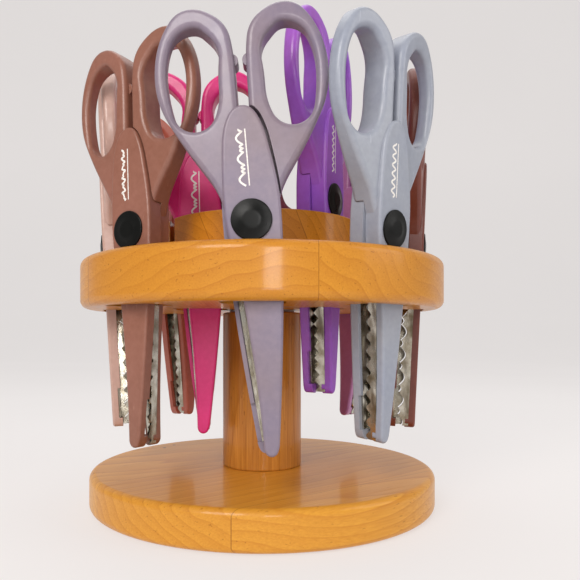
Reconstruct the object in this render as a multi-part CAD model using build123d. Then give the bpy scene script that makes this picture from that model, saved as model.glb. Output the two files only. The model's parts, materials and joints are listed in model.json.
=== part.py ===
"""Ten pairs of pattern-edge paper scissors standing in a two-tier wooden carousel.

Frame: millimetres, +Z up, front of the object toward -Y, origin at the centre of
the underside of the wooden base.  Every pair is drawn once in a flat frame
(u to the right, v up the handles, w toward the person looking at its front face,
pivot at the origin) and then stood up and turned into its slot.
"""
import math
import os

from build123d import *

# ---------------------------------------------------------------- carousel
BASE_R = 83.0           # round base board
BASE_H = 16.7
BASE_EDGE = 3.0         # rounding of its rims
POST_R = 19.4           # upright dowel
POST_TENON_R = 12.0     # tenon glued into the base
POST_TENON_H = 11.0
PLATE_R = 87.0          # slotted ring board the outer scissors hang in
PLATE_Z = 92.9
PLATE_H = 22.4
PLATE_EDGE = 3.6
HUB_R = 47.4            # raised disc for the two inner scissors
HUB_H = 19.0
HUB_EDGE = 0.9
WASHER_H = 1.2          # thrust washer under the turning plate
SHAFT_R = 4.0           # shoulder of the spindle screw
SHAFT_FIT = 0.08        # radial running clearance on the shoulder
SPINDLE_HEAD_R = 8.0
SPINDLE_HEAD_H = 4.0
PLUG_R = 11.0           # wooden button over the spindle head
PLUG_H = 4.5
HUB_SCREW_R = 1.8
HUB_SCREW_PITCH_R = 38.0
BASE_SCREW_R = 2.2      # two screws up through the base into the dowel
BASE_SCREW_HEAD_R = 4.2
BASE_SCREW_X = 6.5

SLOT_LEN = 25.0         # slots in the plate, along the scissors' width
SLOT_WID = 17.0
SLOT_SHIFT = 0.9        # slot off the pair's middle, so that one cap has wood beside the shank
SLOT_CORNER = 3.0
INNER_SLOT_LEN = 25.2
INNER_SLOT_WID = 17.8
WIDE_SLOT_LEN = 27.6    # opening in the hub that lets the caps sink to the plate
WIDE_SLOT_WID = 21.6

# ---------------------------------------------------------------- scissors
HALF_T = 7.2            # outer face of shank and blade cover from the mid-plane
LOOP_T = 6.6            # face of the finger loops from the mid-plane, at the middle of the pair
LOOP_RIM_T = 2.9        # the same at the outermost rim: the loops thin toward the outside
LOOP_REACH = 32.3       # how far the loops reach from the middle
SHANK_GAP = 0.1         # each shank stops this far from the mid-plane
TONGUE_GAP = 0.45       # gap between a raised tongue and the other handle
LOOP_ROUND = 2.1        # rounding of the loop edges
SHANK_ROUND = 1.2
HUB_KEEP_R = 13.5       # shank is full depth inside this radius
WALL_IN = 2.6           # depth where the spine wall ends, from the mid-plane
COVER_IN = 3.9          # inner face of the blade cover
WALL_T = 1.7            # thickness of the spine wall
NOTCH_TOP = -69.0       # spine wall is cut away from here down to the tip block
TIP_BLOCK = -84.0
METAL_T = 0.9           # sheet-steel blade
PIN_R = 3.0
PIN_FIT = 0.05
CAP_R = 7.7             # black pivot cap
CAP_RIM = 0.8
CAP_DOME = 1.5
EDGE_GAP = 0.1          # each patterned edge stays this far from the shared line
EDGE_START = (-6.7, -15.0)
EDGE_END = (-2.35, -87.5)
LIFT = 110.0            # straight lift that takes a pair out of its slot

# Outlines seen from the front, as points joined by smooth arcs; a point may carry the
# direction the outline runs in there.
SHANK_OUTLINE = [
    (0.0, 42.6, 1, 0), (5.6, 38.2, 0.45, -1), (9.6, 22.0, 0.17, -1), (11.3, 5.0, 0, -1),
    (9.3, -30.0, -0.09, -1), (3.3, -84.0, -0.13, -1), (0.1, -88.4, -1, 0), (-2.6, -85.2, 0, 1),
    (-5.6, -30.0, -0.1, 1), (-9.9, 5.0, 0, 1), (-8.7, 28.5, 0.1, 1), (-5.4, 39.4, 0.6, 1),
]
LOOP_OUTER = [
    (-1.5, 20.0, 0, 1), (-1.5, 59.0, 0, 1), (-6.6, 76.6, -0.75, 0.66), (-17.2, 81.2, -1, 0),
    (-29.2, 70.6, -0.45, -1), (-32.3, 55.5, 0, -1), (-21.2, 27.2, 0.62, -1),
    (-10.8, 8.4, 0.3, -1), (-6.1, 2.4, 1, 0),
]
LOOP_HOLE = [
    (-16.4, 74.0, -1, 0), (-27.6, 56.0, 0, -1), (-17.6, 35.3, 1, 0), (-8.1, 50.0, 0, 1),
    (-10.0, 69.6),
]
STOP_V = 60.5           # height of the little stop bosses between the loops
STOP_R = 2.4
STOP_T = 3.4


# Patterned edges: each returns the edge height (w) at a step along the blade.
EDGE_STEPS = 84


def zigzag(n):
    """Pointed saw teeth."""
    return 1.25 * (1.0 - 4.0 * abs((n / 6) % 1.0 - 0.5))


def scallop(n):
    """Round arches meeting in cusps."""
    return 1.3 - 2.6 * abs(math.sin(math.pi * n / 8))


def ripple(n):
    """Plain even wave."""
    return 1.2 * math.sin(2 * math.pi * n / 7)


def deckle(n):
    """Irregular torn edge."""
    return 0.6 * math.sin(n * 0.82) + 0.45 * math.sin(n * 1.5 + 0.8) + 0.25 * math.sin(n * 2.5)


def wing(n):
    """Wide arch, two small points, wide arch."""
    k = n % 16
    if k < 10:
        return 1.35 - 2.5 * math.sin(math.pi * k / 10)
    return 1.35 - 1.3 * abs(math.sin(2 * math.pi * (k - 10) / 6))


def ornate(n):
    """Large arch followed by a small bump."""
    k = n % 13
    if k < 9:
        return -1.3 + 2.5 * math.sin(math.pi * k / 9)
    return -1.3 + 1.1 * math.sin(math.pi * (k - 9) / 4)


# One row per pair: slot number from the front, slide round the ring, shift outward, twist
# from the tangent, sideways lean of the top to the left, outward tilt of the top, how far
# it stands open, edge pattern.
SLOT_START = -2.4
OUTER_R = 72.4
OUTER = {
    "a": dict(slot=0, slide=-0.6, out=0.0, twist=0.5, lean=4.2, tilt=0.7, open=1.4, edge=wing),
    "b": dict(slot=7, slide=2.5, out=-1.4, twist=15.0, lean=2.8, tilt=-1.2, open=0.0, edge=deckle),
    "c": dict(slot=1, slide=-0.8, out=0.0, twist=0.5, lean=3.0, tilt=5.0, open=0.0, edge=ripple),
    "d": dict(slot=6, slide=0.0, out=0.0, twist=14.0, lean=0.6, tilt=3.0, open=0.0, edge=scallop),
    "e": dict(slot=2, slide=1.5, out=0.0, twist=-9.0, lean=0.8, tilt=2.5, open=0.0, edge=ornate),
    "f": dict(slot=5, slide=0.0, out=0.0, twist=8.0, lean=0.8, tilt=3.0, open=0.0, edge=zigzag),
    "g": dict(slot=3, slide=0.0, out=0.0, twist=13.0, lean=0.8, tilt=3.0, open=0.0, edge=scallop),
    "h": dict(slot=4, slide=0.0, out=0.0, twist=8.0, lean=0.8, tilt=3.0, open=0.0, edge=ripple),
}
INNER = {
    "i": dict(x=-29.0, y=-14.6, yaw=0.0, lean=1.0, tilt=0.6, open=0.0, edge=wing, low=True),
    "j": dict(x=27.0, y=-22.4, yaw=60.0, lean=0.6, tilt=0.6, open=0.0, edge=zigzag, low=False),
}
PLATE_TOP = PLATE_Z + PLATE_H
HUB_TOP = PLATE_TOP + HUB_H


def slot_angle(number):
    return SLOT_START + 45.0 * number


def seat_height(surface, tilt):
    """Pivot height when the lower cap of a tilted pair rests on a surface."""
    a = math.radians(abs(tilt))
    return surface + CAP_R * math.cos(a) + (HALF_T + CAP_RIM) * math.sin(a) + 0.02


def pose(name):
    """Pivot position, yaw, tilt and lean of one pair."""
    if name in OUTER:
        p = OUTER[name]
        a = math.radians(slot_angle(p["slot"])) + p["slide"] / OUTER_R
        r = OUTER_R + p["out"]
        z = seat_height(PLATE_TOP, p["tilt"])
        where = (r * math.sin(a), -r * math.cos(a), z)
        return where, slot_angle(p["slot"]) + p["twist"], p["tilt"], p["lean"]
    p = INNER[name]
    z = seat_height(PLATE_TOP if p["low"] else HUB_TOP, p["tilt"])
    return (p["x"], p["y"], z), p["yaw"], p["tilt"], p["lean"]


def placement(name):
    """Location that carries the flat frame into the pair's place in the carousel."""
    where, yaw, tilt, lean = pose(name)
    return Pos(*where) * Rot(0, 0, yaw) * Rot(tilt, 0, 0) * Rot(0, -lean, 0) * Rot(90, 0, 0)


# ---------------------------------------------------------------- helpers
def slab(face, low, high):
    """Solid from a flat face between two depths."""
    return extrude(Pos(0, 0, low) * face, amount=high - low, dir=(0, 0, 1))


def headings(points):
    """Unit direction of the outline at every point, from the circle through its neighbours."""
    result = []
    for k, p in enumerate(points):
        if len(p) == 4:
            heading = Vector(p[2], p[3])
        else:
            before = Vector(*p[:2]) - Vector(*points[k - 1][:2])
            after = Vector(*points[(k + 1) % len(points)][:2]) - Vector(*p[:2])
            heading = before * (after.length / before.length) + after * (before.length / after.length)
        result.append(heading.normalized())
    return result


def smooth_face(points):
    """Face inside a closed chain of tangent arcs, two arcs between neighbouring points."""
    ways = headings(points)
    edges = []
    for k, start in enumerate(points):
        nxt = (k + 1) % len(points)
        p0, p1, t0, t1 = Vector(*start[:2]), Vector(*points[nxt][:2]), ways[k], ways[nxt]
        chord, both = p1 - p0, t0 + t1
        bend = 2 * (1 - t0.dot(t1))
        if bend < 1e-9:
            reach = chord.dot(chord) / (2 * chord.dot(both))
        else:
            lean = chord.dot(both)
            reach = (math.sqrt(lean * lean + bend * chord.dot(chord)) - lean) / bend
        middle = (p0 + t0 * reach + p1 - t1 * reach) * 0.5
        across = (p1 - t1 * reach - p0 - t0 * reach).normalized()
        for a, b, way in ((p0, middle, t0), (middle, p1, across)):
            if abs((b - a).normalized().cross(way).Z) < 1e-4:
                edges.append(Edge.make_line(a, b))
            else:
                edges.append(Edge.make_tangent_arc(a, way, b))
    return Face(Wire(edges))


def block(u0, u1, v0, v1, w0, w1):
    size = Box(u1 - u0, v1 - v0, w1 - w0)
    return Pos((u0 + u1) / 2, (v0 + v1) / 2, (w0 + w1) / 2) * size


def rod(radius, low, high, u=0.0, v=0.0):
    centre = (low + high) / 2
    return Pos(u, v, centre) * Cylinder(radius, high - low)


def other_tongue(gap, low, high):
    """Room for the rear half's tongue, seen from the front, with a gap all round."""
    grown = []
    for p, way in zip(SHANK_OUTLINE, headings(SHANK_OUTLINE)):
        u, v = p[0] - gap * way.Y, p[1] + gap * way.X
        grown.append((-u, v, way.X, -way.Y))
    return slab(smooth_face(grown[::-1]), low, high)


# ---------------------------------------------------------------- scissors parts
def loop_depth(u):
    """Distance of the loops' face from the mid-plane."""
    return LOOP_T + (LOOP_T - LOOP_RIM_T) * u / LOOP_REACH


def on_loop_faces(edge):
    centre = edge.position_at(0.5)
    return abs(abs(centre.Z) - loop_depth(centre.X)) < 0.02


def loop_wedge():
    """Space between the two sloping faces of the loops."""
    u0, u1 = -45.0, 12.0
    corners = [(u0, -loop_depth(u0)), (u1, -loop_depth(u1)), (u1, loop_depth(u1)), (u0, loop_depth(u0))]
    plane = Plane(origin=(0, -30, 0), x_dir=(1, 0, 0), z_dir=(0, -1, 0))
    return extrude(plane * make_face(Polyline(*corners, close=True)), amount=-140)


def finger_loop():
    """Left loop with its web, full depth, before the other half's tongue is cleared."""
    body = slab(smooth_face(LOOP_OUTER), -12, 12) & loop_wedge()
    body = fillet(body.edges().filter_by(on_loop_faces), LOOP_ROUND)
    around = loop_wedge() - slab(smooth_face(LOOP_HOLE), -12, 12)
    rims = around.edges().filter_by(on_loop_faces)
    rims = rims.filter_by(lambda e: -40 < e.center().X < 0 and 10 < e.center().Y < 90)
    return body & fillet(rims, LOOP_ROUND)


def front_metal(edge, sign):
    """Sheet-steel blade: a flat leg inside the cover and a flange with a shaped edge."""
    (u0, v0), (u1, v1) = EDGE_START, EDGE_END
    length = math.hypot(u1 - u0, v1 - v0)
    along = Vector((u1 - u0) / length, (v1 - v0) / length, 0)
    leftward = Vector(along.Y, -along.X, 0)
    profile = [(0.0, COVER_IN)]
    for n in range(EDGE_STEPS + 1):
        profile.append((length * n / EDGE_STEPS, sign * edge(n) + EDGE_GAP))
    profile.append((length, COVER_IN))
    plane = Plane(origin=(u0, v0, 0), x_dir=along, z_dir=leftward)
    flange = extrude(plane * make_face(Polyline(*profile, close=True)), amount=-METAL_T)
    leg = make_face(Polyline(
        (u0, v0), (-7.0, 12.0), (7.0, 12.0), (8.3, -13.0), (7.4, -30.0), (5.3, -50.0),
        (3.2, -69.0), (1.5, TIP_BLOCK), (-1.7, TIP_BLOCK), (u1, v1), close=True))
    metal = flange + slab(leg, COVER_IN - METAL_T, COVER_IN)
    return metal - rod(PIN_R + PIN_FIT, 0, HALF_T)


def front_plastic(metal):
    """Front half: left finger loop, tongue, shank and blade cover moulded in one piece."""
    shank = slab(smooth_face(SHANK_OUTLINE), SHANK_GAP, HALF_T)
    top = shank.edges().filter_by(lambda e: abs(e.center().Z - HALF_T) < 0.01)
    shank = fillet(top, SHANK_ROUND)
    keep = rod(HUB_KEEP_R, -1, HALF_T)
    deep = block(-20, 20, TIP_BLOCK, 0, -1, WALL_IN) + block(-20, 20, -95, TIP_BLOCK, -1, WALL_IN - 0.4)
    shank -= deep - keep
    pocket = slab(smooth_face(SHANK_OUTLINE), WALL_IN - 0.5, COVER_IN)
    pocket = (Pos(-WALL_T, 0, 0) * pocket) & block(-20, 20, TIP_BLOCK, 0, 0, COVER_IN)
    shank -= pocket - keep
    shank -= block(-20, 20, TIP_BLOCK, NOTCH_TOP, 0, COVER_IN)

    loop = finger_loop()
    loop -= other_tongue(TONGUE_GAP, -HALF_T - 1, SHANK_GAP)
    boss = rod(STOP_R, -STOP_T, STOP_T, -STOP_R - 0.05, STOP_V)
    half = shank + loop + boss
    half -= rod(PIN_R + PIN_FIT, -HALF_T - 1, HALF_T + 1)
    half -= metal
    return largest(half)


def largest(shape):
    """Keep the one connected body."""
    return max(shape.solids(), key=lambda s: s.volume)


def cap_solid():
    """Domed cap lying on w = 0 with its dome toward +w."""
    lines = [
        Line((0, 0), (CAP_R, 0)),
        Line((CAP_R, 0), (CAP_R, CAP_RIM * 0.6)),
        Spline((CAP_R, CAP_RIM * 0.6), (CAP_R - 0.5, CAP_RIM), (CAP_R * 0.55, CAP_DOME - 0.25),
               (0, CAP_DOME), tangents=[(0, 1), (-1, 0)]),
        Line((0, CAP_DOME), (0, 0)),
    ]
    face = Rot(90, 0, 0) * make_face(Curve() + lines)
    return revolve(face, Axis.Z, 360)


def pivot_group():
    """Snap rivet: front cap with hollow post, rear cap with the stud that plugs it."""
    front = Pos(0, 0, HALF_T) * cap_solid() + rod(PIN_R, -HALF_T, HALF_T + 0.2)
    front -= rod(1.6, -HALF_T - 1, 2.0)
    rear = Pos(0, 0, -HALF_T - 0.05) * Rot(180, 0, 0) * cap_solid()
    rear += rod(1.6, -HALF_T - 0.1, 0.5)
    return [front, rear]


def turned(shape):
    """Front part turned round to the back of the pair."""
    return Rot(0, 180, 0) * shape


# ---------------------------------------------------------------- carousel parts
def slot_cutters():
    """Prisms for the eight outer and two inner slots in the plate."""
    cutters = []
    for name in OUTER:
        (_, _, z), yaw, tilt, _ = pose(name)
        side = -SLOT_SHIFT if tilt > 0 else SLOT_SHIFT
        at = (placement(name) * Pos(-0.5, PLATE_TOP - z, side)).position
        prism = extrude(RectangleRounded(SLOT_LEN, SLOT_WID, SLOT_CORNER), amount=PLATE_H + 2)
        cutters.append(Pos(at.X, at.Y, PLATE_Z - 1) * Rot(0, 0, yaw) * prism)
    for p in INNER.values():
        outline = RectangleRounded(INNER_SLOT_LEN, INNER_SLOT_WID, SLOT_CORNER)
        prism = extrude(outline, amount=PLATE_H + 2)
        cutters.append(Pos(p["x"], p["y"], PLATE_Z - 1) * Rot(0, 0, p["yaw"]) * prism)
    return cutters


def hub_cutters():
    cutters = []
    for p in INNER.values():
        size = (WIDE_SLOT_LEN, WIDE_SLOT_WID) if p["low"] else (INNER_SLOT_LEN, INNER_SLOT_WID)
        outline = RectangleRounded(*size, SLOT_CORNER)
        prism = extrude(outline, amount=HUB_H + 2)
        cutters.append(Pos(p["x"], p["y"], PLATE_TOP - 1) * Rot(0, 0, p["yaw"]) * prism)
    return cutters


def disc(radius, low, height, round_off):
    body = rod(radius, low, low + height)
    return fillet(body.edges(), round_off)


def screw(radius, head_r, length, head_h):
    """Flat-headed wood screw hanging below w = 0, head on top."""
    shank = rod(radius, -length + 3, -head_h)
    point = Pos(0, 0, -length + 1.5) * Rot(180, 0, 0) * Cone(radius, 0.3, 3.0)
    head = Pos(0, 0, -head_h / 2) * Cone(radius, head_r, head_h)
    drive = block(-head_r * 0.8, head_r * 0.8, -0.4, 0.4, -0.8, 0.1)
    return shank + point + head - drive


def hub_screw_places():
    return [Pos(HUB_SCREW_PITCH_R * math.cos(math.radians(a)),
                HUB_SCREW_PITCH_R * math.sin(math.radians(a)), 0) for a in (95, 150, 30, 285)]


def carousel_parts():
    """Every node of the wooden stand."""
    washer_top = PLATE_Z
    post_top = PLATE_Z - WASHER_H
    post = rod(POST_R, BASE_H, post_top)
    post = fillet(post.edges(), 0.8)
    post += rod(POST_TENON_R, BASE_H - POST_TENON_H, BASE_H + 1)

    head_top = HUB_TOP - PLUG_H
    head_low = head_top - SPINDLE_HEAD_H
    spindle = rod(SHAFT_R, post_top, head_low) + rod(SPINDLE_HEAD_R, head_low, head_top - 0.3)
    spindle += rod(2.6, post_top - 24, post_top)
    socket = extrude(RegularPolygon(2.6, 6), amount=-2.2)
    spindle -= Pos(0, 0, head_top - 0.3) * socket
    post = post - spindle

    base = disc(BASE_R, 0, BASE_H, BASE_EDGE)
    base -= rod(POST_TENON_R, BASE_H - POST_TENON_H, BASE_H + 1)
    base_screws = []
    for x in (-BASE_SCREW_X, BASE_SCREW_X):
        one = screw(BASE_SCREW_R, BASE_SCREW_HEAD_R, 34.0, 2.6)
        base_screws.append(Pos(x, 0, 0) * Rot(180, 0, 0) * one)
    for one in base_screws:
        post = largest(post - one)
        base = largest(base - one)

    washer = rod(16.0, post_top, washer_top) - rod(SHAFT_R + SHAFT_FIT, post_top - 1, washer_top + 1)
    bore = rod(SHAFT_R + SHAFT_FIT, PLATE_Z - 1, HUB_TOP + 1)

    screws = []
    for place in hub_screw_places():
        one = place * Pos(0, 0, PLATE_Z) * Rot(180, 0, 0) * screw(HUB_SCREW_R, 3.6, 34.0, 2.4)
        screws.append(one)
    plate = disc(PLATE_R, PLATE_Z, PLATE_H, PLATE_EDGE)
    for cutter in slot_cutters():
        plate -= cutter
    plate = largest(plate - bore)
    hub = disc(HUB_R, PLATE_TOP, HUB_H, HUB_EDGE)
    for cutter in hub_cutters():
        hub -= cutter
    hub -= bore
    hub -= rod(SPINDLE_HEAD_R + 0.3, head_low - 0.1, HUB_TOP + 1)
    hub -= rod(PLUG_R, head_top, HUB_TOP + 1)
    for one in screws:
        plate = largest(plate - one)
        hub = largest(hub - one)
    plug = rod(PLUG_R, head_top, HUB_TOP + 0.4)
    plug = fillet(plug.edges().group_by(Axis.Z)[-1], 0.35)
    return {
        "stand_base": base,
        "stand_post": post,
        "base_screws": base_screws,
        "ring_plate": plate,
        "hub_disc": hub,
        "spindle_screw": spindle,
        "thrust_washer": washer,
        "hub_screws": screws,
        "hub_plug": plug,
    }


def scissor_parts(name, half, edge, open_by):
    """The five nodes of one pair, in their place in the carousel."""
    place = placement(name)
    ahead = place * Rot(0, 0, open_by / 2)
    behind = place * Rot(0, 0, -open_by / 2)
    return {
        f"{name}_front_half": ahead * half,
        f"{name}_rear_half": behind * turned(half),
        f"{name}_front_blade": ahead * front_metal(edge, 1),
        f"{name}_rear_blade": behind * turned(front_metal(edge, -1)),
        f"{name}_pivot": [ahead * s for s in pivot_group()],
    }


def save(name, shape):
    if isinstance(shape, list):
        solids = [s for item in shape for s in item.solids()]
        shape = Compound(children=solids)
    elif len(shape.solids()) == 1:
        shape = shape.solids()[0]
    shape.label = name
    export_step(shape, f"parts/{name}.step")


def main():
    os.makedirs("parts", exist_ok=True)
    half = front_plastic(front_metal(lambda n: -1.5, 1))
    for name, shape in carousel_parts().items():
        save(name, shape)
    for name, p in {**OUTER, **INNER}.items():
        for node, shape in scissor_parts(name, half, p["edge"], p["open"]).items():
            save(node, shape)


main()
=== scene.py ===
import json
import math

import bpy
from mathutils import Matrix, Vector


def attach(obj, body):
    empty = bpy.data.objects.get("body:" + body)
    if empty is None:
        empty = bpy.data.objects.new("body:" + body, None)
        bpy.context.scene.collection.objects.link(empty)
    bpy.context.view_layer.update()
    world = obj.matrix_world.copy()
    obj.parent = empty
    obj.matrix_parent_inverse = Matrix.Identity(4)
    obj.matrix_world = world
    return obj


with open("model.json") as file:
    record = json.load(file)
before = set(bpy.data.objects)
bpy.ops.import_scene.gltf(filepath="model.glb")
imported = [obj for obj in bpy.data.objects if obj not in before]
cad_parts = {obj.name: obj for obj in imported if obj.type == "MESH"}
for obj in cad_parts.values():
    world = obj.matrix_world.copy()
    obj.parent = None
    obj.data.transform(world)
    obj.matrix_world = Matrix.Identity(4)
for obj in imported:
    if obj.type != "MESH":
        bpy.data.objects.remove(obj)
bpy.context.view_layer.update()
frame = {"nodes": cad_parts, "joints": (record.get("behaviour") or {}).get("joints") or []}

MM = 0.001
JOINTS = {j["name"]: j for j in frame["joints"]}
PAIRS = "abcdefghij"


def srgb(r, g, b):
    """Linear colour from 0-255 display values."""
    out = []
    for c in (r, g, b):
        c = c / 255
        out.append(c / 12.92 if c <= 0.04045 else ((c + 0.055) / 1.055) ** 2.4)
    return (*out, 1.0)


def blend(a, b, share):
    """Colour a with a share of colour b."""
    return tuple(p * (1 - share) + q * share for p, q in zip(a, b))


def paler(rgb, lift):
    return srgb(*[min(255, c + lift) for c in rgb])


def shaded(colour, factor):
    """Linear colour brought down or up by a factor, still opaque."""
    return tuple(min(1, c * factor) for c in colour[:3]) + (1.0,)


# ---------------------------------------------------------------- node helpers
class Graph:
    """A material's node tree with short calls for adding nodes."""

    def __init__(self, name):
        self.material = bpy.data.materials.new(name)
        self.material.use_nodes = True
        self.tree = self.material.node_tree
        self.tree.nodes.clear()
        self.shader = self.tree.nodes.new("ShaderNodeBsdfPrincipled")
        out = self.tree.nodes.new("ShaderNodeOutputMaterial")
        self.tree.links.new(self.shader.outputs[0], out.inputs["Surface"])
        self.place = self.tree.nodes.new("ShaderNodeTexCoord").outputs["Object"]

    def add(self, kind, *values, **settings):
        node = self.tree.nodes.new("ShaderNode" + kind)
        for key, value in settings.items():
            setattr(node, key, value)
        for socket, value in zip(node.inputs, values):
            self.feed(socket, value)
        return node

    def feed(self, socket, value):
        if value is None:
            return
        if isinstance(value, bpy.types.NodeSocket):
            self.tree.links.new(value, socket)
        else:
            socket.default_value = value

    def math(self, operation, a, b=None, c=None):
        return self.add("Math", a, b, c, operation=operation).outputs[0]

    def vec(self, operation, a, b=None):
        node = self.add("VectorMath", a, b, operation=operation)
        return node.outputs[1] if operation in ("LENGTH", "DOT_PRODUCT") else node.outputs[0]

    def scaled(self, vector, factors):
        return self.vec("MULTIPLY", vector, factors)

    def noise(self, vector, scale, detail=3.0):
        node = self.add("TexNoise")
        self.feed(node.inputs["Vector"], vector)
        node.inputs["Scale"].default_value = scale
        node.inputs["Detail"].default_value = detail
        node.inputs["Roughness"].default_value = 0.55
        return node.outputs[0]

    def span(self, value, low, high, to_low=0.0, to_high=1.0, soft=False):
        node = self.add("MapRange", value, low, high, to_low, to_high)
        node.interpolation_type = "SMOOTHSTEP" if soft else "LINEAR"
        return node.outputs[0]

    def ramp(self, value, *stops):
        node = self.add("ValToRGB", value)
        elements = node.color_ramp.elements
        while len(elements) < len(stops):
            elements.new(0.5)
        for element, (position, colour) in zip(elements, stops):
            element.position = position
            element.color = colour
        return node.outputs[0]

    def mix(self, factor, a, b):
        node = self.add("Mix", data_type="RGBA")
        self.feed(node.inputs[0], factor)
        self.feed(node.inputs[6], a)
        self.feed(node.inputs[7], b)
        return node.outputs[2]

    def bump(self, height, strength, distance, normal=None):
        node = self.add("Bump")
        node.inputs["Strength"].default_value = strength
        node.inputs["Distance"].default_value = distance
        self.feed(node.inputs["Height"], height)
        self.feed(node.inputs["Normal"], normal)
        return node.outputs[0]

    def rounded(self, radius):
        node = self.add("Bevel", samples=4)
        node.inputs["Radius"].default_value = radius
        return node.outputs[0]

    def edge(self, round_normal):
        """1 along sharp edges, 0 elsewhere."""
        flat_normal = self.add("NewGeometry").outputs["Normal"]
        dot = self.vec("DOT_PRODUCT", round_normal, flat_normal)
        return self.span(dot, 0.985, 0.88, soft=True)

    def set(self, **values):
        names = {"colour": "Base Color", "rough": "Roughness", "normal": "Normal", "metal": "Metallic",
                 "coat": "Coat Weight", "coat_rough": "Coat Roughness", "coat_normal": "Coat Normal",
                 "specular": "Specular IOR Level", "glow": "Emission Strength",
                 "glow_colour": "Emission Color"}
        for key, value in values.items():
            self.feed(self.shader.inputs[names[key]], value)
        return self.material


# ---------------------------------------------------------------- materials
def plastic(name, rgb, shade):
    """Moulded handle plastic: fine spark-eroded grain, slow colour drift, a painted highlight that makes
    sharp edges lighter, light scuffs.
    """
    g = Graph(name)
    drift = g.noise(g.place, 34.0, 2.0)
    colour = g.mix(g.span(drift, 0.3, 0.7), srgb(*rgb), srgb(*shade))
    mottle = g.noise(g.place, 420.0, 4.0)
    colour = g.mix(g.span(mottle, 0.35, 0.7, 0.0, 0.16), colour, paler(rgb, 34))
    streak = g.noise(g.scaled(g.place, (900.0, 900.0, 130.0)), 1.0, 2.0)
    scuff = g.span(streak, 0.70, 0.78, 0.0, 0.35, soft=True)
    colour = g.mix(scuff, colour, paler(rgb, 50))
    smooth = g.rounded(0.35 * MM)
    # Painted highlight: every sharp edge is painted lighter in the handle's own hue.
    colour = g.mix(g.math("MULTIPLY", g.edge(smooth), 0.3), colour, paler(rgb, 45))
    grain = g.noise(g.place, 1500.0, 2.0)
    swell = g.noise(g.place, 60.0, 1.0)
    normal = g.bump(grain, 0.10, 0.05 * MM, g.bump(swell, 0.15, 0.4 * MM, smooth))
    haze = g.span(g.noise(g.place, 90.0, 3.0), 0.3, 0.7, 0.30, 0.42)
    rough = g.math("ADD", haze, g.math("MULTIPLY", scuff, 0.4))
    return g.set(colour=colour, rough=rough, normal=normal, specular=0.5, coat=0.12, coat_rough=0.22)


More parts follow.
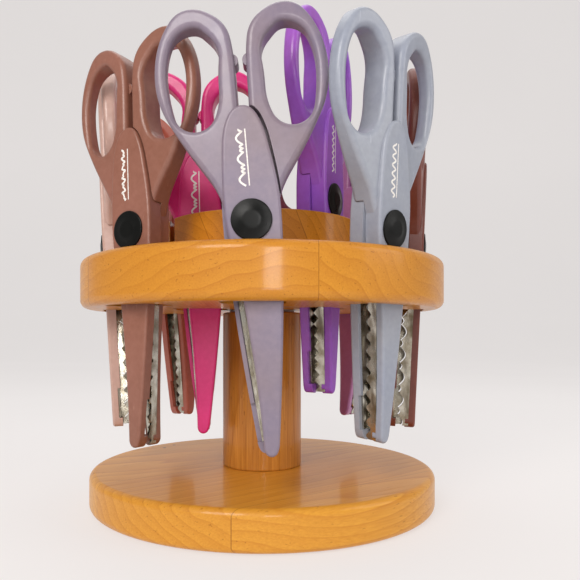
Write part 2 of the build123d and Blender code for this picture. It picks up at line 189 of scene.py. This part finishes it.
def wood(name, along, across, joints, light, dark, hearts, ring=4.6, slant=0.0, specks=(),
         board=0.058, spread=1.0, streak=0.38):
    """Lacquered glued pine: solid growth rings in every board, pores, thin glue lines, clear coat.

    hearts holds where the log's heart lies, across and up, for the boards before and after the joint.
    """
    g = Graph(name)
    t = g.vec("DOT_PRODUCT", g.place, along)
    side = Vector(across)
    third = Vector(along).cross(side)
    h = g.vec("DOT_PRODUCT", g.place, tuple(third))
    s = g.vec("DOT_PRODUCT", g.place, tuple(side))
    cut = g.math("ADD", s, g.math("MULTIPLY", h, slant))
    place = g.math("DIVIDE", g.math("SUBTRACT", cut, joints), board)
    number = g.math("FLOOR", place)
    chance = g.add("TexWhiteNoise", noise_dimensions="1D")
    g.feed(chance.inputs["W"], g.math("ADD", number, 7.3))
    luck = g.add("SeparateColor", chance.outputs["Color"])
    after = g.math("GREATER_THAN", number, -0.5)
    (s0, h0), (s1, h1) = hearts
    shift_s = g.math("ADD", g.span(after, 0, 1, s0, s1), g.span(luck.outputs[0], 0, 1, -0.008, 0.008))
    shift_h = g.math("ADD", g.span(after, 0, 1, h0, h1), g.span(luck.outputs[1], 0, 1, -0.02, 0.02))
    warp = g.noise(g.vec("ADD", g.place, g.vec("SCALE", chance.outputs["Color"], None)), 14.0, 2.0)

    def stretched(around, lengthwise):
        """Place in the board, closer packed across the grain than along it."""
        return g.add("CombineXYZ", g.math("MULTIPLY", s, around), g.math("MULTIPLY", h, around),
                     g.math("MULTIPLY", t, lengthwise)).outputs[0]

    run = stretched(26.0, 5.0)
    bend = g.math("MULTIPLY", g.math("SUBTRACT", g.noise(run, 1.0, 2.0), 0.5), 0.020 * spread)
    slope = g.math("MULTIPLY", t, g.span(luck.outputs[2], 0, 1, -0.22, 0.26))
    ds = g.math("ADD", g.math("SUBTRACT", s, shift_s), slope)
    dh = g.math("SUBTRACT", h, shift_h)
    radius = g.math("SQRT", g.math("ADD", g.math("MULTIPLY", ds, ds), g.math("MULTIPLY", dh, dh)))
    radius = g.math("ADD", radius, bend)
    phase = g.math("FRACT", g.math("DIVIDE", radius, ring * MM))
    colour = g.ramp(phase, (0.0, light), (0.45, blend(light, dark, 0.2)), (0.80, blend(light, dark, 0.38)),
                    (0.93, blend(light, dark, 0.7)), (1.0, light))
    colour = g.mix(g.span(warp, 0.35, 0.7, 0.25, 0.75), colour, blend(light, dark, 0.28))
    fibre = g.noise(stretched(1500.0, 45.0), 1.0, 3.0)
    colour = g.mix(g.span(fibre, 0.3, 0.75, 0.0, streak), colour, dark)
    pore = g.span(g.noise(stretched(900.0, 230.0), 1.0, 1.0), 0.68, 0.76, soft=True)
    colour = g.mix(g.math("MULTIPLY", pore, 0.55), colour, shaded(dark, 0.62))
    tone = g.span(chance.outputs[0], 0, 1, 0.0, 0.30)
    colour = g.mix(tone, colour, dark)
    inside = g.math("FRACT", place)
    gap = g.math("MINIMUM", inside, g.math("SUBTRACT", 1.0, inside))
    line = g.span(g.math("MULTIPLY", gap, board), 0.22 * MM, 0.06 * MM, soft=True)
    colour = g.mix(g.math("MULTIPLY", line, 0.6), colour, shaded(dark, 0.45))
    for at, size in specks:
        d = g.vec("LENGTH", g.vec("SUBTRACT", g.place, at))
        d = g.math("ADD", d, g.math("MULTIPLY", g.noise(g.place, 700.0, 2.0), 1.4 * MM))
        blot = g.span(d, (size + 0.9) * MM, (size + 0.3) * MM, soft=True)
        colour = g.mix(blot, colour, srgb(48, 28, 14))
    smooth = g.rounded(0.5 * MM)
    # Painted highlight: every sharp edge is painted a brighter copy of the light pine colour.
    colour = g.mix(g.math("MULTIPLY", g.edge(smooth), 0.28), colour, shaded(light, 1.25))
    brushed = g.noise(g.scaled(g.place, (120.0, 120.0, 46.0)), 1.0, 2.0)
    relief = g.math("ADD", g.math("MULTIPLY", phase, 0.25), g.math("MULTIPLY", fibre, 0.5))
    normal = g.bump(relief, 0.12, 0.12 * MM, smooth)
    coat_normal = g.bump(brushed, 0.10, 0.35 * MM, smooth)
    rough = g.span(fibre, 0.2, 0.8, 0.34, 0.52)
    return g.set(colour=colour, rough=rough, normal=normal, coat=0.32, coat_rough=0.12,
                 coat_normal=coat_normal, specular=0.2)


def sheet_steel(name):
    """Stamped strip: lengthwise polish lines, dull stains drawn out lengthwise, a warm tarnish drift."""
    g = Graph(name)
    lines = g.noise(g.scaled(g.place, (2600.0, 2600.0, 60.0)), 1.0, 3.0)
    smear = g.noise(g.place, 130.0, 3.0)
    colour = g.mix(g.span(smear, 0.35, 0.7), srgb(204, 200, 188), srgb(132, 120, 96))
    dirt = g.span(g.noise(g.scaled(g.place, (260.0, 260.0, 55.0)), 1.0, 3.0), 0.42, 0.72, 0.0, 0.7,
                  soft=True)
    colour = g.mix(dirt, colour, srgb(84, 74, 56))
    smooth = g.rounded(0.15 * MM)
    wave = g.noise(g.place, 75.0, 1.0)
    normal = g.bump(lines, 0.10, 0.03 * MM, g.bump(wave, 0.25, 0.8 * MM, smooth))
    rough = g.math("ADD", g.span(smear, 0.3, 0.7, 0.12, 0.28), g.math("MULTIPLY", dirt, 0.35))
    return g.set(colour=colour, rough=rough, normal=normal, metal=1.0)


def zinc(name):
    """Plated screw metal with a fine spangle."""
    g = Graph(name)
    spangle = g.noise(g.place, 900.0, 4.0)
    colour = g.mix(g.span(spangle, 0.35, 0.7), srgb(176, 178, 180), srgb(138, 138, 136))
    smooth = g.rounded(0.2 * MM)
    normal = g.bump(spangle, 0.12, 0.04 * MM, smooth)
    rough = g.span(spangle, 0.3, 0.7, 0.26, 0.42)
    return g.set(colour=colour, rough=rough, normal=normal, metal=1.0)


def black_cap(name):
    """Satin black moulding with fine pits and a little settled dust."""
    g = Graph(name)
    pits = g.noise(g.place, 2300.0, 2.0)
    dust = g.span(g.noise(g.place, 1500.0, 3.0), 0.66, 0.78, 0.0, 0.14, soft=True)
    colour = g.mix(dust, srgb(9, 10, 9), srgb(88, 90, 82))
    smooth = g.rounded(0.25 * MM)
    normal = g.bump(pits, 0.22, 0.05 * MM, smooth)
    rough = g.span(g.noise(g.place, 160.0, 2.0), 0.3, 0.7, 0.27, 0.38)
    return g.set(colour=colour, rough=rough, normal=normal, specular=0.2)


def nylon(name):
    """Ivory washer plastic."""
    g = Graph(name)
    cloud = g.noise(g.place, 120.0, 3.0)
    colour = g.mix(g.span(cloud, 0.3, 0.7), srgb(226, 220, 204), srgb(205, 197, 178))
    rough = g.span(cloud, 0.3, 0.7, 0.42, 0.55)
    return g.set(colour=colour, rough=rough, normal=g.bump(g.noise(g.place, 1400.0, 2.0), 0.1, 0.04 * MM))


def print_ink(name):
    """White pad-printed ink, thin in places."""
    g = Graph(name)
    worn = g.noise(g.place, 1900.0, 3.0)
    colour = g.mix(g.span(worn, 0.35, 0.72), srgb(246, 244, 238), srgb(216, 208, 204))
    rough = g.span(worn, 0.3, 0.7, 0.40, 0.55)
    return g.set(colour=colour, rough=rough, normal=g.bump(worn, 0.1, 0.02 * MM))


def backdrop(name):
    """Pale paper that carries part of its own light, so that floor and wall look alike."""
    g = Graph(name)
    cloud = g.noise(g.place, 3.0, 2.0)
    colour = g.mix(g.span(cloud, 0.3, 0.7), srgb(150, 148, 147), srgb(147, 145, 144))
    return g.set(colour=colour, rough=g.span(cloud, 0.3, 0.7, 0.85, 0.92), specular=0.05,
                 glow_colour=srgb(233, 229, 228), glow=0.72)


# Handle colours, each with the tone it drifts to.
HANDLES = {
    "a": ((133, 117, 126), (124, 114, 136)),
    "b": ((142, 92, 76), (130, 82, 64)),
    "c": ((152, 156, 166), (144, 150, 166)),
    "d": ((194, 160, 148), (184, 150, 138)),
    "e": ((118, 54, 38), (102, 44, 32)),
    "f": ((182, 98, 78), (168, 86, 68)),
    "g": ((176, 110, 164), (158, 96, 154)),
    "h": ((110, 42, 58), (96, 36, 48)),
    "i": ((222, 36, 124), (208, 30, 114)),
    "j": ((148, 82, 202), (158, 84, 186)),
}
LIGHT_PINE = srgb(238, 176, 66)
DARK_PINE = srgb(180, 104, 20)


def turned(degrees):
    """Grain direction and the direction across it, at an angle round +Z."""
    a = math.radians(degrees)
    return (math.cos(a), math.sin(a), 0.0), (-math.sin(a), math.cos(a), 0.0)


base_along, base_across = turned(35.7)
deep_along, deep_across = turned(90.0)
FINISH = {
    "stand_base": wood("base_pine", base_along, base_across, -0.0602, LIGHT_PINE, DARK_PINE,
                       ((0.0, -0.30), (0.093, -0.146)), board=0.066,
                       specks=(((-0.0555, 0.0431, 0.0167), 0.9), ((-0.0513, 0.0519, 0.0167), 1.0))),
    "ring_plate": wood("ring_pine", deep_along, deep_across, -0.0205, srgb(224, 158, 54), srgb(172, 100, 18),
                       ((0.08, -0.05), (-0.035, -0.136)), ring=5.4, board=0.094),
    "hub_disc": wood("hub_pine", deep_along, deep_across, -0.0260, srgb(228, 154, 50), srgb(172, 98, 14),
                     ((0.10, 0.05), (0.12, 0.0)), slant=-0.4, board=0.042),
    "hub_plug": wood("plug_pine", base_along, base_across, 0.03, LIGHT_PINE, DARK_PINE,
                     ((0.0, 0.0), (0.05, 0.08)), ring=2.4),
    "stand_post": wood("post_pine", (0, 0, 1), (1, 0, 0), 0.1, srgb(222, 154, 68), srgb(150, 86, 16),
                       ((0.02, 0.07), (0.02, 0.07)), ring=3.4, board=0.2, spread=0.4, streak=0.75),
    "base_screws": zinc("screw_zinc"),
    "thrust_washer": nylon("washer_nylon"),
}
FINISH["spindle_screw"] = FINISH["hub_screws"] = FINISH["base_screws"]
steel, cap_black, ink = sheet_steel("blade_steel"), black_cap("cap_black"), print_ink("print_white")
for n in PAIRS:
    handle = plastic(f"handle_{n}", *HANDLES[n])
    for node in (f"{n}_front_half", f"{n}_rear_half"):
        FINISH[node] = handle
    for node in (f"{n}_front_blade", f"{n}_rear_blade"):
        FINISH[node] = steel
    FINISH[f"{n}_pivot"] = cap_black
for node, obj in frame["nodes"].items():
    obj.data.materials.clear()
    obj.data.materials.append(FINISH[node])


# ---------------------------------------------------------------- printed marks
def zigzag(n):
    return 1.25 * (1.0 - 4.0 * abs((n / 6) % 1.0 - 0.5))


def scallop(n):
    return 1.3 - 2.6 * abs(math.sin(math.pi * n / 8))


def ripple(n):
    return 1.2 * math.sin(2 * math.pi * n / 7)


def deckle(n):
    return 0.6 * math.sin(n * 0.82) + 0.45 * math.sin(n * 1.5 + 0.8) + 0.25 * math.sin(n * 2.5)


def wing(n):
    k = n % 16
    if k < 10:
        return 1.35 - 2.5 * math.sin(math.pi * k / 10)
    return 1.35 - 1.3 * abs(math.sin(2 * math.pi * (k - 10) / 6))


def ornate(n):
    k = n % 13
    if k < 9:
        return -1.3 + 2.5 * math.sin(math.pi * k / 9)
    return -1.3 + 1.1 * math.sin(math.pi * (k - 9) / 4)


PATTERN = dict(a=wing, b=deckle, c=ripple, d=scallop, e=ornate, f=zigzag, g=scallop, h=ripple,
               i=wing, j=zigzag)
HALF_T = 7.2               # mid-plane to the face of the tongue, mm
INK_LOW, INK_HIGH = HALF_T - 0.02, HALF_T + 0.05
MARK_START, MARK_LENGTH = 12.5, 21.0
WAVE_SIDE, WAVE_SCALE, WAVE_WIDTH, WAVE_STEPS, WAVE_RUN = -2.1, 0.9, 0.75, 176, 44
RULE_SIDE, RULE_WIDTH, RULE_STEPS = 0.35, 0.45, 12
# Pair a stands open by this many degrees.
STAND_OPEN = {"a": 1.4}
# Pair d leaves its slot off its own length, by the angle whose tangent is 0.07.
LIFT_SKEW = {"d": math.atan(0.07)}


def flat_frame(n):
    """Matrix from a pair's own flat millimetre frame to the row frame."""
    turn, lift = JOINTS[f"{n}_pivot_turn"], JOINTS[f"{n}_lift"]
    w = -Vector(turn["axis"]).normalized()
    v = Vector(lift["axis"]).normalized()
    v = Matrix.Rotation(-LIFT_SKEW.get(n, 0.0), 3, w) @ v
    u = v.cross(w)
    m = Matrix((u, v, w)).transposed().to_4x4()
    m.translation = Vector(turn["pos_m"])
    return m @ Matrix.Rotation(math.radians(STAND_OPEN.get(n, 0.0) / 2), 4, "Z") @ Matrix.Scale(MM, 4)


def ribbon(points, width, low, high, verts, faces):
    """Raised strip of constant width along a line of flat points."""
    first = len(verts)
    for k, (u, v) in enumerate(points):
        a, b = points[max(k - 1, 0)], points[min(k + 1, len(points) - 1)]
        d = Vector((b[0] - a[0], b[1] - a[1])).normalized()
        for side in (-1, 1):
            x, y = u - side * d.y * width / 2, v + side * d.x * width / 2
            verts.append((x, y, low))
            verts.append((x, y, high))
    for k in range(len(points) - 1):
        i = first + 4 * k
        faces.append((i + 1, i + 5, i + 7, i + 3))
        faces.append((i, i + 4, i + 5, i + 1))
        faces.append((i + 2, i + 3, i + 7, i + 6))
    faces.append((first, first + 1, first + 3, first + 2))
    end = first + 4 * (len(points) - 1)
    faces.append((end, end + 2, end + 3, end + 1))


def up_the_mark(k, steps):
    return MARK_START + MARK_LENGTH * k / steps


for n in PAIRS:
    verts, faces = [], []
    wave = [(WAVE_SIDE + WAVE_SCALE * PATTERN[n](WAVE_RUN * k / WAVE_STEPS), up_the_mark(k, WAVE_STEPS))
            for k in range(WAVE_STEPS + 1)]
    rule = [(RULE_SIDE, up_the_mark(k, RULE_STEPS)) for k in range(RULE_STEPS + 1)]
    ribbon(wave, WAVE_WIDTH, INK_LOW, INK_HIGH, verts, faces)
    ribbon(rule, RULE_WIDTH, INK_LOW, INK_HIGH, verts, faces)
    mesh = bpy.data.meshes.new(f"{n}_mark")
    mesh.from_pydata(verts, [], faces)
    mesh.transform(flat_frame(n))
    mesh.materials.append(ink)
    mark = bpy.data.objects.new(f"{n}_mark", mesh)
    bpy.context.scene.collection.objects.link(mark)
    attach(mark, f"{n}_front")


# ---------------------------------------------------------------- stage, lights, camera
FLOOR_FRONT, CURVE_START, CURVE_R, WALL_TOP, HALF_WIDTH = -2.2, 1.6, 0.9, 3.6, 4.0
CURVE_STEPS = 24
FLOOR_DROP = 0.0004        # keeps the paper from flickering through the base's underside


def sweep():
    """Floor that curves up into a far wall."""
    profile = [(FLOOR_FRONT, 0.0)]
    for k in range(CURVE_STEPS + 1):
        a = math.radians(90 * k / CURVE_STEPS)
        profile.append((CURVE_START + CURVE_R * math.sin(a), CURVE_R - CURVE_R * math.cos(a)))
    profile.append((CURVE_START + CURVE_R, WALL_TOP))
    verts = [(x, y, z - FLOOR_DROP) for y, z in profile for x in (-HALF_WIDTH, HALF_WIDTH)]
    faces = [(2 * k, 2 * k + 1, 2 * k + 3, 2 * k + 2) for k in range(len(profile) - 1)]
    mesh = bpy.data.meshes.new("sweep")
    mesh.from_pydata(verts, [], faces)
    for polygon in mesh.polygons:
        polygon.use_smooth = True
    mesh.materials.append(backdrop("sweep_paper"))
    obj = bpy.data.objects.new("sweep", mesh)
    bpy.context.scene.collection.objects.link(obj)


def area(name, place, target, size, power, colour=(1, 1, 1)):
    """Softbox at a place, facing a target."""
    light = bpy.data.lights.new(name, "AREA")
    light.shape = "RECTANGLE"
    light.size, light.size_y = size
    light.energy = power
    light.color = colour
    obj = bpy.data.objects.new(name, light)
    obj.location = place
    obj.rotation_euler = (Vector(target) - Vector(place)).to_track_quat("-Z", "Y").to_euler()
    bpy.context.scene.collection.objects.link(obj)


sweep()
middle = (0, 0, 0.11)
area("key", (-0.38, -0.85, 0.62), middle, (0.45, 0.45), 6.4, (1.0, 0.97, 0.93))
area("front", (0.10, -0.95, 0.26), middle, (0.16, 0.22), 1.6, (1.0, 0.98, 0.96))
area("right", (0.85, -0.25, 0.50), middle, (0.5, 0.6), 2.0, (1.0, 0.98, 0.96))
area("top", (0.0, 0.25, 1.10), middle, (0.8, 0.8), 3.0)

world = bpy.data.worlds.new("studio")
world.use_nodes = True
world.node_tree.nodes["Background"].inputs[0].default_value = srgb(236, 233, 231)
world.node_tree.nodes["Background"].inputs[1].default_value = 0.42
scene = bpy.context.scene
scene.world = world
scene.view_settings.view_transform = "Standard"

# The camera stands level and its picture is shifted, so uprights stay upright.
SENSOR = 36.0
LENS = 1.05172 * SENSOR
SHIFT_X, SHIFT_Y = 0.048276, 0.081897
camera = bpy.data.cameras.new("camera")
camera.sensor_width = SENSOR
camera.lens = LENS
camera.shift_x = SHIFT_X
camera.shift_y = SHIFT_Y
camera.clip_start = 0.01
camera_object = bpy.data.objects.new("camera", camera)
camera_object.location = (0.0, -0.3045, 0.0795)
camera_object.rotation_euler = (math.radians(90), 0, 0)
scene.collection.objects.link(camera_object)
scene.camera = camera_object
